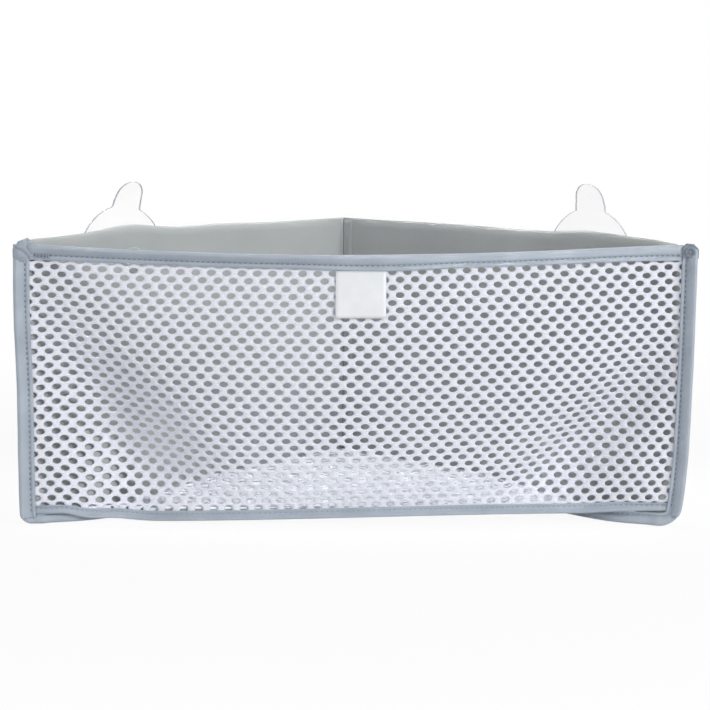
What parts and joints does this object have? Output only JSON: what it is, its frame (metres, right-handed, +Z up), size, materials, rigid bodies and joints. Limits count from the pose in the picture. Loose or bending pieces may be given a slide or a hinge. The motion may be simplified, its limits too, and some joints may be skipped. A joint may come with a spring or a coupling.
{
  "type": "corner bath toy organizer",
  "caption": "Three-sided corner bag with a mesh front and floor, padded rear walls, taped seams, and suction cups that swivel behind the walls.",
  "frame": {"origin": "centre of the bag's box in plan, on the plane that its lower seams stand on", "axes": "+X to the right along the mesh front, +Y back towards the rear corner, +Z up"},
  "size_m": [0.44, 0.2272, 0.2196],
  "materials": {
    "mesh_knit": "open-hole polyester knit",
    "padded_wall": "smooth jersey over foam",
    "binding_tape": "satin tape",
    "tag_fabric": "soft matt label",
    "clear_vinyl": "clear moulded",
    "eyelet_plastic": "moulded"
  },
  "bodies": {
    "basket": {"front_mesh": "mesh_knit", "floor_mesh": "mesh_knit", "left_wall": "padded_wall", "right_wall": "padded_wall", "front_top_binding": "binding_tape", "front_bottom_binding": "binding_tape", "left_side_binding": "binding_tape", "right_side_binding": "binding_tape", "left_floor_binding": "binding_tape", "right_floor_binding": "binding_tape", "rear_corner_tape": "binding_tape", "left_eyelet": "eyelet_plastic", "right_eyelet": "eyelet_plastic", "left_eyelet_washer": "eyelet_plastic", "right_eyelet_washer": "eyelet_plastic"},
    "left_cup": {"left_suction_cup": "clear_vinyl"},
    "right_cup": {"right_suction_cup": "clear_vinyl"},
    "tag": {"front_tag": "tag_fabric"}
  },
  "joints": [
    {"name": "left_cup_swivel", "type": "hinge", "parent": "basket", "child": "left_cup", "pos_m": [-0.15155, -0.0413, 0.167], "axis": [-0.7071, 0.7071, 0], "continuous": true},
    {"name": "right_cup_swivel", "type": "hinge", "parent": "basket", "child": "right_cup", "pos_m": [0.15155, -0.0413, 0.167], "axis": [0.7071, 0.7071, 0], "continuous": true},
    {"name": "tag_flap", "type": "hinge", "parent": "basket", "child": "tag", "pos_m": [0.0035, -0.10616, 0.1655], "axis": [-1, 0, 0], "range_deg": [0, 100]}
  ]
}
